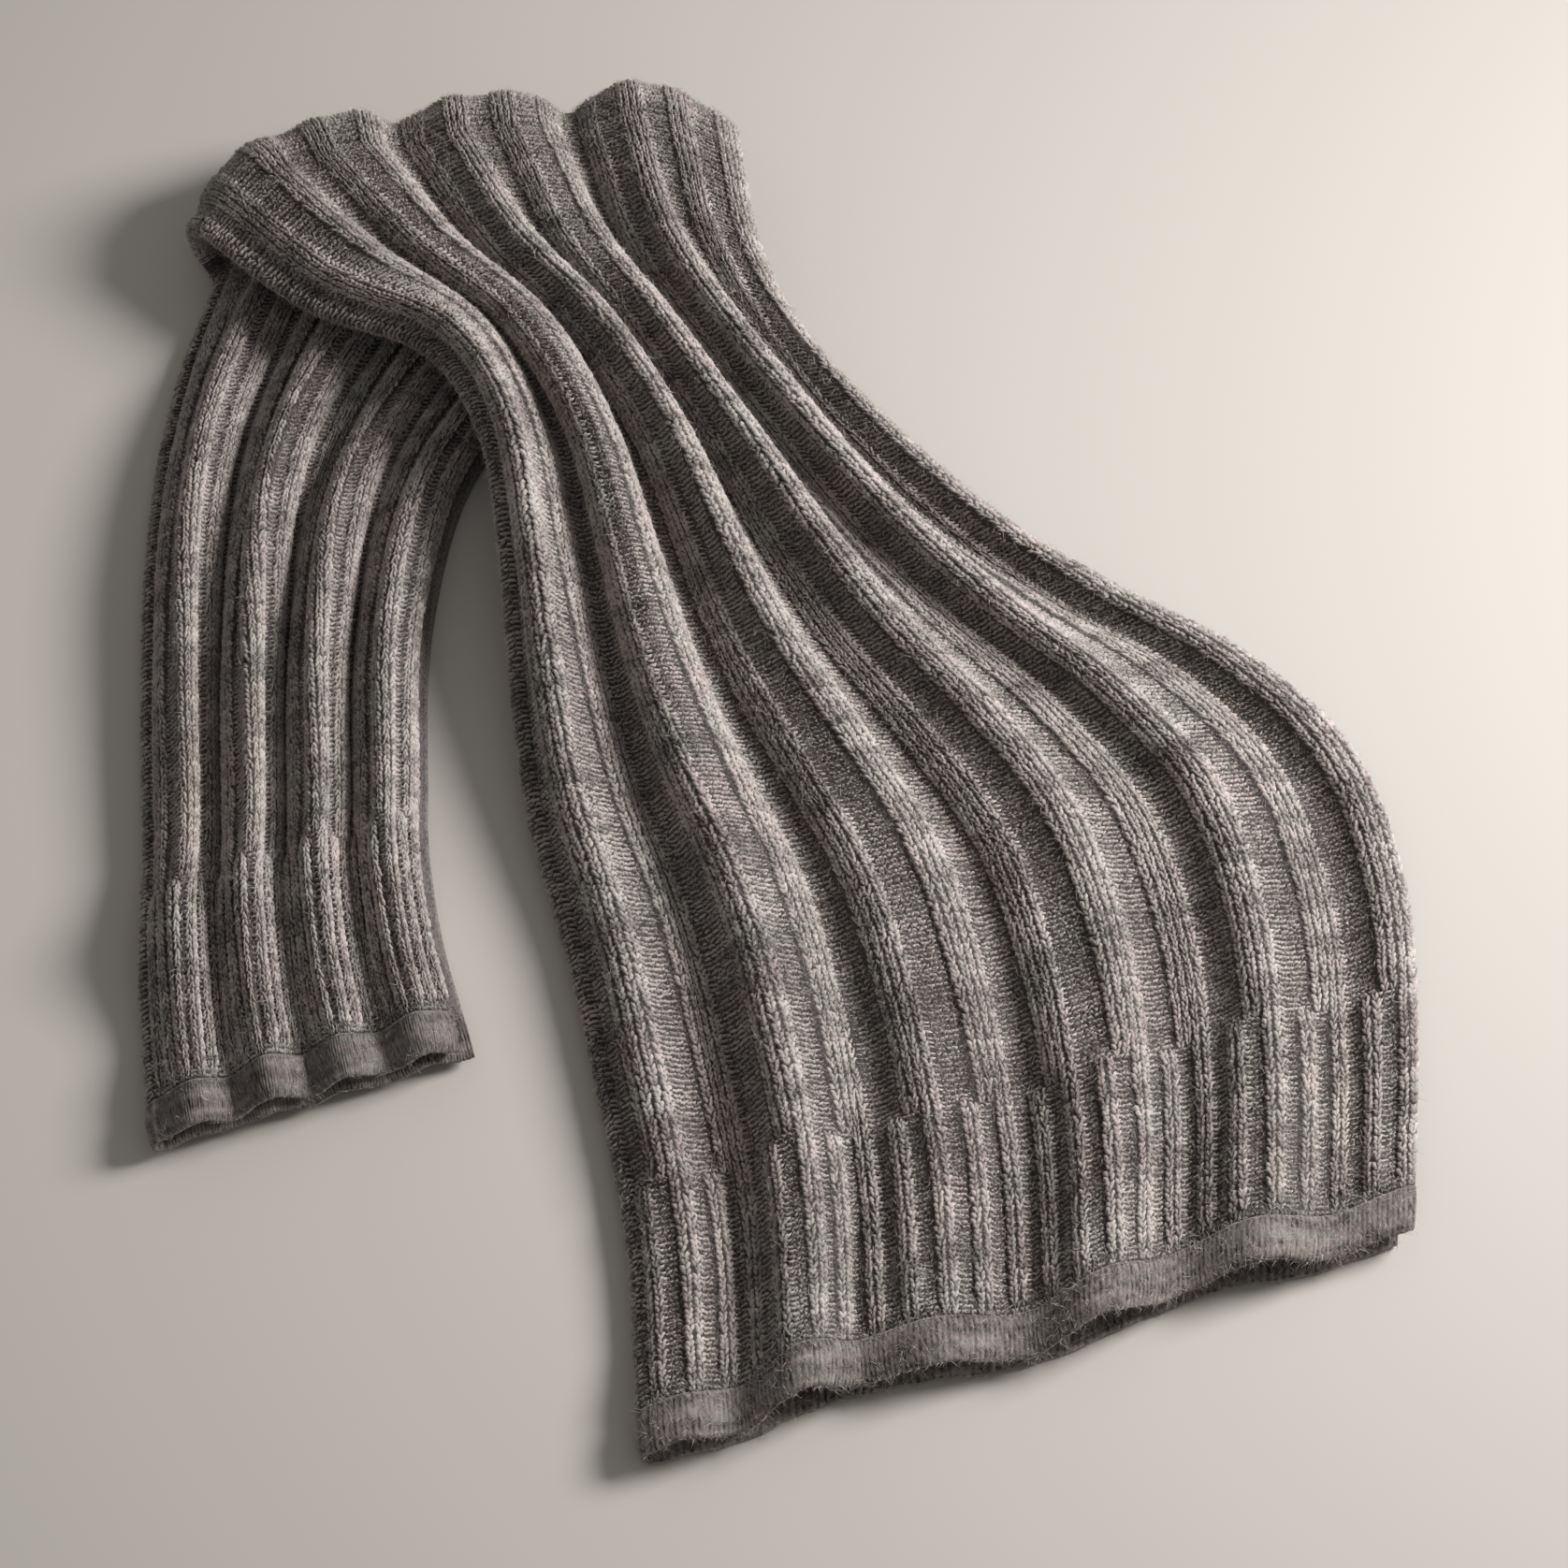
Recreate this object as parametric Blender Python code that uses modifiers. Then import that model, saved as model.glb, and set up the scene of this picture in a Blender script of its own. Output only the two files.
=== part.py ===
"""Chunky rib-knit throw, folded in half along its length and turned over on itself, on a flat surface.

Metres, +Z up. The front half lies towards -Y and spreads to the right, and the back half comes out from
under it on the left. A place on the cloth is given by two distances: along, from the front end of the
knitted panel, and across, from its right edge over the upper layer, round the lengthwise fold on the left
and back under along the lower layer.
"""

import math

import bmesh
import bpy
import numpy as np

# The throw as it comes off the knitting machine
THROW_WIDTH = 1.14
THROW_LENGTH = 1.94
CLOTH = 0.004
RIBS = 24
RIB_RELIEF = 0.0026
NARROW_RIB_RELIEF = 0.0018
NARROW_RIB_LENGTH = 0.155
BAND_WIDTH = 0.032
BAND_THICKNESS = 0.009
SEAM = 0.0008

RIB_PITCH = THROW_WIDTH / RIBS
PANEL_LENGTH = THROW_LENGTH - 2 * (BAND_WIDTH + SEAM)

# How it is folded. The crown is the crosswise fold, where the front half turns over onto the back half.
CROWN = 1.05
CROWN_RADIUS = 0.020
LAYER_GAP = 0.0095
END_LAYER_GAP = 0.0135
END_REACH = 0.06
EDGE_FOLD = 0.010
LOWER_INSET = 0.010
NESTING = 0.50

TURN_LENGTH = math.pi * (CROWN_RADIUS + LAYER_GAP / 2)
BACK = CROWN + TURN_LENGTH
UPPER_WIDTH = (THROW_WIDTH - 2 * EDGE_FOLD) / 2
LOWER_START = UPPER_WIDTH + 2 * EDGE_FOLD
TURN_HEIGHT = CROWN_RADIUS + LAYER_GAP + CLOTH / 2
CROWN_LEVEL = TURN_HEIGHT + CROWN_RADIUS

# The two long edges of the folded cloth seen from above, and the height of the lower layer at each of them
FRONT_COLUMNS = ("along", "right_x", "right_y", "left_x", "left_y", "right_level", "left_level")
FRONT_SECTIONS = (
    (0.00, 0.418, -0.308, -0.096, -0.470, 0.002, 0.002),
    (0.12, 0.426, -0.190, -0.104, -0.350, 0.002, 0.002),
    (0.24, 0.422, -0.072, -0.126, -0.232, 0.002, 0.002),
    (0.35, 0.390, 0.030, -0.150, -0.124, 0.002, 0.002),
    (0.45, 0.322, 0.102, -0.176, -0.028, 0.002, 0.006),
    (0.55, 0.236, 0.154, -0.190, 0.068, 0.002, 0.018),
    (0.65, 0.158, 0.208, -0.200, 0.166, 0.004, 0.032),
    (0.75, 0.088, 0.272, -0.216, 0.264, 0.012, 0.044),
    (0.86, 0.022, 0.352, -0.262, 0.356, 0.030, 0.050),
    (0.96, -0.020, 0.438, -0.346, 0.412, 0.044, 0.051),
    (CROWN, -0.036, 0.526, -0.420, 0.480, CROWN_LEVEL, CROWN_LEVEL),
)
BACK_COLUMNS = ("along", "right_x", "right_y", "left_x", "left_y", "hump")
BACK_SECTIONS = (
    (BACK, -0.036, 0.526, -0.420, 0.480, 0.0),
    (1.21, -0.086, 0.450, -0.440, 0.398, 0.0),
    (1.30, -0.152, 0.370, -0.450, 0.312, 0.0),
    (1.42, -0.218, 0.266, -0.452, 0.196, 0.0),
    (1.55, -0.246, 0.140, -0.448, 0.068, 0.0),
    (1.68, -0.246, 0.010, -0.440, -0.060, 0.0),
    (1.75, -0.242, -0.058, -0.438, -0.128, 0.013),
    (1.81, -0.232, -0.116, -0.434, -0.186, 0.002),
    (PANEL_LENGTH, -0.216, -0.176, -0.426, -0.248, 0.005),
)

# Lengthwise folds of the upper layer: place from the right edge (0) to the left one (1), height and half
# width, each at the hem, the knee, the waist and the crown
FRONT_STOPS = (0.0, 0.40, 0.72, CROWN)
FRONT_FOLDS = (
    ("right edge roll", (0.03, 0.03, 0.05, 0.07), (0.005, 0.012, 0.022, 0.022), (0.07, 0.08, 0.09, 0.14)),
    ("outer fold", (0.20, 0.18, 0.21, 0.20), (0.020, 0.018, 0.029, 0.027), (0.10, 0.10, 0.09, 0.14)),
    ("middle fold", (0.41, 0.38, 0.39, 0.40), (0.024, 0.019, 0.030, 0.028), (0.10, 0.11, 0.09, 0.13)),
    ("seat fold", (0.62, 0.58, 0.56, 0.53), (0.014, 0.018, 0.032, 0.028), (0.10, 0.10, 0.08, 0.13)),
    ("bright fold", (0.79, 0.77, 0.74, 0.71), (0.027, 0.035, 0.035, 0.027), (0.08, 0.09, 0.08, 0.14)),
    ("left edge fold", (0.94, 0.93, 0.92, 0.86), (0.012, 0.025, 0.034, 0.025), (0.07, 0.08, 0.08, 0.15)),
)
# Lengthwise folds of the back half, whose lower layer comes out on top
BACK_STOPS = (BACK, 1.32, 1.55, PANEL_LENGTH)
BACK_FOLDS = (
    ("inner fold", (0.14, 0.14, 0.14, 0.15), (0.0, 0.006, 0.027, 0.013), (0.12, 0.12, 0.125, 0.12)),
    ("second fold", (0.38, 0.38, 0.38, 0.39), (0.0, 0.013, 0.032, 0.014), (0.12, 0.12, 0.125, 0.12)),
    ("third fold", (0.62, 0.62, 0.62, 0.62), (0.0, 0.023, 0.033, 0.016), (0.12, 0.12, 0.125, 0.12)),
    ("outer fold", (0.86, 0.86, 0.855, 0.85), (0.0, 0.026, 0.030, 0.012), (0.11, 0.115, 0.125, 0.12)),
)
# How far the ends of the cloth lean out, from the right edge to the left one
FRONT_END_LEAN = (0.000, 0.003, -0.004, 0.002, 0.009, 0.000, -0.005, 0.003, 0.000)
# How far the crown falls back, from its right end to its left one, and how far down the cloth that reaches
CROWN_FALL = (0.030, 0.006, 0.000, 0.000, 0.000, 0.000, 0.004, 0.020, 0.054)
CROWN_FALL_REACH = 0.34

# The middle of the whole throw in the plan above, which becomes the origin
PLAN_CENTRE = (-0.0111, 0.0337)

# Mesh
SHOWN_RIB_STEPS = (0.06, 0.44, 0.56, 0.94)
HIDDEN_COLUMNS = 26
BAND_COLUMNS = 39
EDGE_FOLD_STEPS = 4
SECTION_SAMPLES = 240


def smooth_curve(stops, values, at):
    """The values at the stops, joined by a smooth curve and read at the given places."""
    stops, values, at = (np.asarray(part, float) for part in (stops, values, at))
    slopes = np.gradient(values, stops, axis=0)
    i = np.clip(np.searchsorted(stops, at, "right") - 1, 0, len(stops) - 2)
    span = stops[i + 1] - stops[i]
    t = (at - stops[i]) / span
    start = values[i] * (1 + 2 * t) * (1 - t) ** 2 + slopes[i] * span * t * (1 - t) ** 2
    end = values[i + 1] * t**2 * (3 - 2 * t) + slopes[i + 1] * span * t**2 * (t - 1)
    return start + end


def ease(low, high, x):
    """0 below low, 1 above high, and smooth between them."""
    t = np.clip((x - low) / (high - low), 0, 1)
    return t * t * (3 - 2 * t)


def column(sections, columns, name, along):
    """One named column of a table of sections, read at a distance along the cloth."""
    table = np.array(sections)
    return float(smooth_curve(table[:, 0], table[:, columns.index(name)], along))


def fold_height(folds, stops, along, place):
    """The height that the lengthwise folds give the cloth at each place across it."""
    height = np.zeros_like(place)
    for _, centres, heights, widths in folds:
        centre, top, width = (float(smooth_curve(stops, part, along)) for part in (centres, heights, widths))
        off = np.clip(np.abs(place - centre) / width, 0, 1)
        height += max(top, 0) * np.cos(off * math.pi / 2) ** 2
    return height


def rib_wave(along, across):
    """From a purl channel to a knit rib: wide ribs, and ribs half as wide beside each end band."""
    phase = 2 * math.pi * across / RIB_PITCH
    wide = np.clip(2.8 * np.sin(phase), -1, 1)
    narrow = np.clip(1.5 * np.sin(2 * phase), -1, 1)
    from_end = min(along, PANEL_LENGTH - along)
    share = ease(NARROW_RIB_LENGTH - 0.006, NARROW_RIB_LENGTH + 0.006, from_end)
    fade = ease(0.006, 0.016, from_end)
    return fade * (share * wide * RIB_RELIEF + (1 - share) * narrow * NARROW_RIB_RELIEF)


def crown_fall(place):
    """How far each place of the crosswise fold lies back from the straight line of the crown."""
    return smooth_curve(np.linspace(0, 1, len(CROWN_FALL)), CROWN_FALL, place)


def end_share(along, reach):
    """1 at either end of the panel, and 0 further from it than the reach."""
    return 1 - float(ease(0.006, reach, min(along, PANEL_LENGTH - along)))


class Section:
    """One crosswise section of the folded cloth.

    Heights count up from the lower layer on the front half, and down from the top on the back half.
    """

    def __init__(self, along):
        self.along = along
        self.turn = math.pi * min(max((along - CROWN) / TURN_LENGTH, 0.0), 1.0)
        self.gap = LAYER_GAP + (END_LAYER_GAP - LAYER_GAP) * end_share(along, END_REACH)
        front = self.turn < math.pi
        sections, columns = (FRONT_SECTIONS, FRONT_COLUMNS) if front else (BACK_SECTIONS, BACK_COLUMNS)
        at = min(along, CROWN) if front else along
        self.right = np.array([column(sections, columns, name, at) for name in ("right_x", "right_y")])
        self.left = np.array([column(sections, columns, name, at) for name in ("left_x", "left_y")])
        self.width = float(np.linalg.norm(self.left - self.right))
        line = (self.left - self.right) / self.width
        self.towards_crown = np.array([line[1], -line[0]])
        lift = (BAND_THICKNESS - CLOTH) / 2 * end_share(along, END_REACH)
        if front:
            levels = [column(sections, columns, name, at) for name in ("right_level", "left_level")]
            self.levels = [max(level, CLOTH / 2) + lift for level in levels]
        else:
            self.levels = [CLOTH / 2 + lift + max(column(sections, columns, "hump", at), 0.0)] * 2
        self.upper = self.spread(True)
        self.lower = self.spread(False)

    def spread(self, upper):
        """One layer across the section: its places, its heights and the share of rib relief it shows."""
        first = 0 if upper else LOWER_INSET / self.width
        place = np.linspace(first, 1 - EDGE_FOLD / self.width, SECTION_SAMPLES)
        if self.turn < math.pi:
            folds = fold_height(FRONT_FOLDS, FRONT_STOPS, min(self.along, CROWN), place)
            folds *= 1 - float(ease(0.35 * math.pi, 0.8 * math.pi, self.turn))
            nested = NESTING * float(ease(0.30, 0.55, self.along))
            height = self.gap + folds if upper else nested * folds
        else:
            folds = fold_height(BACK_FOLDS, BACK_STOPS, self.along, place)
            height = self.gap - NESTING * folds if upper else -folds
        turned = float(ease(0.4 * math.pi, 0.6 * math.pi, self.turn))
        return place, height, 1 - turned if upper else -turned

    def points(self, across):
        """World points of the cloth's middle at distances across it."""
        across = np.asarray(across, float)
        place = np.zeros_like(across)
        height = np.zeros_like(across)
        for (places, heights, shown), chosen, distance in (
            (self.upper, across <= UPPER_WIDTH, across),
            (self.lower, across >= LOWER_START, THROW_WIDTH - across),
        ):
            flat, rise = np.gradient(places) * self.width, np.gradient(heights)
            run = np.hypot(flat, rise)
            length = np.concatenate([[0], np.cumsum((run[1:] + run[:-1]) / 2)])
            at = distance[chosen] / UPPER_WIDTH * length[-1]
            relief = shown * rib_wave(self.along, distance[chosen])
            steep, level = (np.interp(at, length, part / run) for part in (rise, flat))
            place[chosen] = np.interp(at, length, places) - relief * steep / self.width
            height[chosen] = np.interp(at, length, heights) + relief * level
        turning = (across > UPPER_WIDTH) & (across < LOWER_START)
        angle = (across[turning] - UPPER_WIDTH) / (LOWER_START - UPPER_WIDTH) * math.pi
        top, bottom = self.upper[1][-1], self.lower[1][-1]
        place[turning] = self.upper[0][-1] + 0.7 * EDGE_FOLD / self.width * np.sin(angle)
        height[turning] = (top + bottom) / 2 + (top - bottom) / 2 * np.cos(angle)
        return self.placed(place, height)

    def outward(self, place):
        """The way out of the crosswise fold, which swings round as the crown line falls at its left end."""
        step = 0.01
        slope = np.maximum(crown_fall(place + step) - crown_fall(place - step), 0) / (2 * step * self.width)
        line = (self.left - self.right) / self.width
        return (self.towards_crown + slope[:, None] * line) / np.hypot(1, slope)[:, None]

    def placed(self, place, height):
        """A place across and a height, as world points, carried round the crown."""
        plan = self.right + place[:, None] * (self.left - self.right)
        from_crown = max(CROWN - self.along, self.along - BACK, 0.0)
        fall = crown_fall(place) * (1 - float(ease(0, CROWN_FALL_REACH, from_crown)))
        plan = plan - fall[:, None] * self.towards_crown
        if self.turn == 0:
            lean = smooth_curve(np.linspace(0, 1, len(FRONT_END_LEAN)), FRONT_END_LEAN, place)
            plan = plan - (lean * end_share(self.along, 0.3))[:, None] * self.towards_crown
            rise = self.levels[0] + (self.levels[1] - self.levels[0]) * place + height
        elif self.turn < math.pi:
            reach = CROWN_RADIUS + height
            plan = plan + (reach * math.sin(self.turn))[:, None] * self.outward(place)
            rise = np.maximum(TURN_HEIGHT + reach * math.cos(self.turn), CLOTH / 2)
        else:
            rise = self.levels[0] + self.gap - height
        return np.column_stack([plan - PLAN_CENTRE, rise])


def columns_of(upper_shown, lower_shown):
    """Distances across the cloth where a row has points: four for each rib that shows, few elsewhere."""
    ribs = [(k + step) * RIB_PITCH for k in range(RIBS // 2) for step in SHOWN_RIB_STEPS]
    shown = [0.0] + [x for x in ribs if x < UPPER_WIDTH - 0.004] + [UPPER_WIDTH]
    hidden = list(np.linspace(0, UPPER_WIDTH, HIDDEN_COLUMNS))
    turn = list(np.linspace(UPPER_WIDTH, LOWER_START, EDGE_FOLD_STEPS + 1)[1:-1])
    lower = [THROW_WIDTH - x for x in reversed(shown if lower_shown else hidden)]
    return np.array((shown if upper_shown else hidden) + turn + lower)


def row_distances():
    """Distances along the cloth where the mesh has a row."""
    front = [0, 0.006, 0.016, 0.08, NARROW_RIB_LENGTH - 0.006, NARROW_RIB_LENGTH + 0.006]
    front += list(np.linspace(0.22, 1.0, 13))
    turn = [CROWN + TURN_LENGTH * k / 6 for k in range(7)]
    back = list(np.linspace(BACK + 0.05, PANEL_LENGTH - NARROW_RIB_LENGTH - 0.006, 7))
    back += [PANEL_LENGTH - x for x in (NARROW_RIB_LENGTH - 0.006, 0.08, 0.016, 0.006, 0)]
    return front + turn + back


def joined(first, first_at, second, second_at):
    """Faces between two rows of points, whether or not the rows have the same columns."""
    if len(first) == len(second) and np.allclose(first_at, second_at):
        return [(first[i], first[i + 1], second[i + 1], second[i]) for i in range(len(first) - 1)]
    faces, i, j = [], 0, 0
    while i < len(first) - 1 or j < len(second) - 1:
        if j == len(second) - 1 or (i < len(first) - 1 and first_at[i + 1] <= second_at[j + 1]):
            faces.append((first[i], first[i + 1], second[j]))
            i += 1
        else:
            faces.append((first[i], second[j + 1], second[j]))
            j += 1
    return faces


def linked_object(name, points, faces, material):
    mesh = bpy.data.meshes.new(name)
    mesh.from_pydata([tuple(point) for point in points], [], faces)
    made = bpy.data.objects.new(name, mesh)
    made.data.materials.append(material)
    bpy.data.collections["knit_throw"].objects.link(made)
    return made


def make_panel(material):
    """The knitted panel: an open surface through its crosswise sections, thickened."""
    points, rows, faces = [], [], []
    for along in row_distances():
        front = along < CROWN + 0.55 * TURN_LENGTH
        across = columns_of(front, not front)
        rows.append((list(range(len(points), len(points) + len(across))), across))
        points.extend(Section(along).points(across).tolist())
    for (first, first_at), (second, second_at) in zip(rows, rows[1:]):
        faces += joined(first, first_at, second, second_at)
    panel = linked_object("knit_panel", points, faces, material)
    thicken = panel.modifiers.new("cloth thickness", "SOLIDIFY")
    thicken.thickness = CLOTH
    thicken.offset = 0


# The band's own section: how far out from the panel, and half its thickness there, as shares of its width
# and thickness
BAND_SHAPE = ((0.0, 0.30), (0.12, 0.44), (0.40, 0.50), (0.72, 0.46), (0.93, 0.30), (1.0, 0.10))


def make_band(name, along, inner_along, material):
    """An end band: a pillow-shaped strip led along the end of the panel, round the lengthwise fold."""
    layer = list(np.linspace(0, UPPER_WIDTH, BAND_COLUMNS))
    turn = list(np.linspace(UPPER_WIDTH, LOWER_START, EDGE_FOLD_STEPS + 1)[1:-1])
    across = np.array(layer + turn + [THROW_WIDTH - x for x in reversed(layer)])
    end = Section(along).points(across)
    outward = end - Section(inner_along).points(across)
    outward /= np.linalg.norm(outward, axis=1)[:, None]
    sideways = np.gradient(end, axis=0)
    normal = np.cross(outward, sideways)
    normal /= np.linalg.norm(normal, axis=1)[:, None]
    ring = [(u, half) for u, half in BAND_SHAPE] + [(u, -half) for u, half in reversed(BAND_SHAPE)]
    points = []
    for start, out, up in zip(end, outward, normal):
        points += [start + out * (SEAM + u * BAND_WIDTH) + up * half * BAND_THICKNESS for u, half in ring]
    n = len(ring)
    faces = [
        (i * n + j, i * n + (j + 1) % n, (i + 1) * n + (j + 1) % n, (i + 1) * n + j)
        for i in range(len(across) - 1)
        for j in range(n)
    ]
    faces += [tuple(reversed(range(n))), tuple(range(len(points) - n, len(points)))]
    made = linked_object(name, points, faces, material)
    bm = bmesh.new()
    bm.from_mesh(made.data)
    bmesh.ops.recalc_face_normals(bm, faces=bm.faces)
    bm.to_mesh(made.data)
    bm.free()


def make_material(name, colour):
    material = bpy.data.materials.new(name)
    material.use_nodes = True
    shader = material.node_tree.nodes["Principled BSDF"]
    shader.inputs["Base Color"].default_value = (*colour, 1)
    shader.inputs["Roughness"].default_value = 0.9
    shader.inputs["Metallic"].default_value = 0
    return material


def main():
    for obj in list(bpy.data.objects):
        bpy.data.objects.remove(obj)
    throw = bpy.data.collections.new("knit_throw")
    bpy.context.scene.collection.children.link(throw)
    panel_yarn = make_material("panel_yarn", (0.14, 0.12, 0.11))
    band_yarn = make_material("band_yarn", (0.17, 0.15, 0.135))
    make_panel(panel_yarn)
    make_band("front_band", 0.0, 0.006, band_yarn)
    make_band("back_band", PANEL_LENGTH, PANEL_LENGTH - 0.006, band_yarn)


main()
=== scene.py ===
"""A chunky rib-knit throw, folded in half and turned over on itself, on a pale floor and seen from above.

Metres, +Z up. A place on the cloth is given by two distances: along, from the front end of the knitted panel,
and across, from its right edge over the upper layer, round the lengthwise fold on the left and back along the
lower layer.
"""

import math

import bpy
import numpy as np
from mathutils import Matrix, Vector


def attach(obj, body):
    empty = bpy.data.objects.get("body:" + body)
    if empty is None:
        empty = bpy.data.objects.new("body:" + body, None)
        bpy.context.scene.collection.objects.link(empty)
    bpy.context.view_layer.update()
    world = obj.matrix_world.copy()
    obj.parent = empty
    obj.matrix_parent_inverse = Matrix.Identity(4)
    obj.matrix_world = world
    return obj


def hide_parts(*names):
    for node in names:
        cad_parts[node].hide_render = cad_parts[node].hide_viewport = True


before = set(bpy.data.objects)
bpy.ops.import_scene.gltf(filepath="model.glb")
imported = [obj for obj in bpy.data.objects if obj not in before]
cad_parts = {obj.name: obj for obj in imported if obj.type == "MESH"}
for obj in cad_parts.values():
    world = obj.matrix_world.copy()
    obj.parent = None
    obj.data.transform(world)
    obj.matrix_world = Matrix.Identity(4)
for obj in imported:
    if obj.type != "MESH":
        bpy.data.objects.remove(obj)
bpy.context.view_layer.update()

# Knitted panel
# One flat panel off the knitting machine, 24 ribs wide, of brushed wool-blend yarn spun from dark and pale
# fibres. It is folded in half along its length, and its front half is turned over onto the back half. Its
# mesh is the ground of the knit: a closed sheet 3 mm thick, which shows between the stitches. Under the
# stitches it is painted near black as painted shade for the gaps between yarns; where it is bare it has the
# yarn's own lightness.
THROW_WIDTH = 1.14
THROW_LENGTH = 1.94
RIBS = 24
RIB_RELIEF = 0.0034
NARROW_RIB_RELIEF = 0.0021
NARROW_RIB_LENGTH = 0.155
BAND_WIDTH = 0.032
BAND_THICKNESS = 0.009
RIB_PITCH = THROW_WIDTH / RIBS
PANEL_LENGTH = THROW_LENGTH - 2 * (BAND_WIDTH + 0.0008)

CLOTH = 0.004
CROWN = 1.05
CROWN_RADIUS = 0.020
LAYER_GAP = 0.0095
END_LAYER_GAP = 0.0135
END_REACH = 0.06
EDGE_FOLD = 0.010
LOWER_INSET = 0.010
NESTING = 0.50
TURN_LENGTH = math.pi * (CROWN_RADIUS + LAYER_GAP / 2)
BACK = CROWN + TURN_LENGTH
UPPER_WIDTH = (THROW_WIDTH - 2 * EDGE_FOLD) / 2
LOWER_START = UPPER_WIDTH + 2 * EDGE_FOLD
TURN_HEIGHT = CROWN_RADIUS + LAYER_GAP + CLOTH / 2
CROWN_LEVEL = TURN_HEIGHT + CROWN_RADIUS
PLAN_CENTRE = (-0.0111, 0.0337)

FRONT_COLUMNS = ("along", "right_x", "right_y", "left_x", "left_y", "right_level", "left_level")
FRONT_SECTIONS = (
    (0.00, 0.418, -0.308, -0.096, -0.470, 0.002, 0.002),
    (0.12, 0.426, -0.190, -0.104, -0.350, 0.002, 0.002),
    (0.24, 0.422, -0.072, -0.126, -0.232, 0.002, 0.002),
    (0.35, 0.390, 0.030, -0.150, -0.124, 0.002, 0.002),
    (0.45, 0.322, 0.102, -0.176, -0.028, 0.002, 0.006),
    (0.55, 0.236, 0.154, -0.190, 0.068, 0.002, 0.018),
    (0.65, 0.158, 0.208, -0.200, 0.166, 0.004, 0.032),
    (0.75, 0.088, 0.272, -0.216, 0.264, 0.012, 0.044),
    (0.86, 0.022, 0.352, -0.262, 0.356, 0.030, 0.050),
    (0.96, -0.020, 0.438, -0.346, 0.412, 0.044, 0.051),
    (CROWN, -0.036, 0.526, -0.420, 0.480, CROWN_LEVEL, CROWN_LEVEL),
)
BACK_COLUMNS = ("along", "right_x", "right_y", "left_x", "left_y", "hump")
BACK_SECTIONS = (
    (BACK, -0.036, 0.526, -0.420, 0.480, 0.0),
    (1.21, -0.086, 0.450, -0.440, 0.398, 0.0),
    (1.30, -0.152, 0.370, -0.450, 0.312, 0.0),
    (1.42, -0.218, 0.266, -0.452, 0.196, 0.0),
    (1.55, -0.246, 0.140, -0.448, 0.068, 0.0),
    (1.68, -0.246, 0.010, -0.440, -0.060, 0.0),
    (1.75, -0.242, -0.058, -0.438, -0.128, 0.013),
    (1.81, -0.232, -0.116, -0.434, -0.186, 0.002),
    (PANEL_LENGTH, -0.216, -0.176, -0.426, -0.248, 0.005),
)
FRONT_STOPS = (0.0, 0.40, 0.72, CROWN)
FRONT_FOLDS = (
    ("right edge roll", (0.03, 0.03, 0.05, 0.07), (0.005, 0.012, 0.022, 0.022), (0.07, 0.08, 0.09, 0.14)),
    ("outer fold", (0.20, 0.18, 0.21, 0.20), (0.020, 0.018, 0.029, 0.027), (0.10, 0.10, 0.09, 0.14)),
    ("middle fold", (0.41, 0.38, 0.39, 0.40), (0.024, 0.019, 0.030, 0.028), (0.10, 0.11, 0.09, 0.13)),
    ("seat fold", (0.62, 0.58, 0.56, 0.53), (0.014, 0.018, 0.032, 0.028), (0.10, 0.10, 0.08, 0.13)),
    ("bright fold", (0.79, 0.77, 0.74, 0.71), (0.027, 0.035, 0.035, 0.027), (0.08, 0.09, 0.08, 0.14)),
    ("left edge fold", (0.94, 0.93, 0.92, 0.86), (0.012, 0.025, 0.034, 0.025), (0.07, 0.08, 0.08, 0.15)),
)
BACK_STOPS = (BACK, 1.32, 1.55, PANEL_LENGTH)
BACK_FOLDS = (
    ("inner fold", (0.14, 0.14, 0.14, 0.15), (0.0, 0.006, 0.027, 0.013), (0.12, 0.12, 0.125, 0.12)),
    ("second fold", (0.38, 0.38, 0.38, 0.39), (0.0, 0.013, 0.032, 0.014), (0.12, 0.12, 0.125, 0.12)),
    ("third fold", (0.62, 0.62, 0.62, 0.62), (0.0, 0.023, 0.033, 0.016), (0.12, 0.12, 0.125, 0.12)),
    ("outer fold", (0.86, 0.86, 0.855, 0.85), (0.0, 0.026, 0.030, 0.012), (0.11, 0.115, 0.125, 0.12)),
)
FRONT_END_LEAN = (0.000, 0.003, -0.004, 0.002, 0.009, 0.000, -0.005, 0.003, 0.000)
CROWN_FALL = (0.030, 0.006, 0.000, 0.000, 0.000, 0.000, 0.004, 0.020, 0.054)
CROWN_FALL_REACH = 0.34
CROWN_FLATTENING = 0.60
CROWN_RIB_REACH = 0.10
END_LEAN_REACH = 0.30
RIB_ROUNDNESS = 0.45
RIB_WOBBLE = 0.0012
RIB_WOBBLE_LENGTH = 0.23
SECTION_SAMPLES = 240


def smooth_curve(stops, values, at):
    """The values at the stops, joined by a smooth curve and read at the given places."""
    stops, values, at = (np.asarray(part, float) for part in (stops, values, at))
    slopes = np.gradient(values, stops, axis=0)
    i = np.clip(np.searchsorted(stops, at, "right") - 1, 0, len(stops) - 2)
    span = stops[i + 1] - stops[i]
    t = (at - stops[i]) / span
    start = values[i] * (1 + 2 * t) * (1 - t) ** 2 + slopes[i] * span * t * (1 - t) ** 2
    end = values[i + 1] * t**2 * (3 - 2 * t) + slopes[i + 1] * span * t**2 * (t - 1)
    return start + end


def ease(low, high, x):
    """0 below low, 1 above high, and smooth between them."""
    t = np.clip((x - low) / (high - low), 0, 1)
    return t * t * (3 - 2 * t)


def column(sections, columns, name, along):
    table = np.array(sections)
    return float(smooth_curve(table[:, 0], table[:, columns.index(name)], along))


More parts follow.
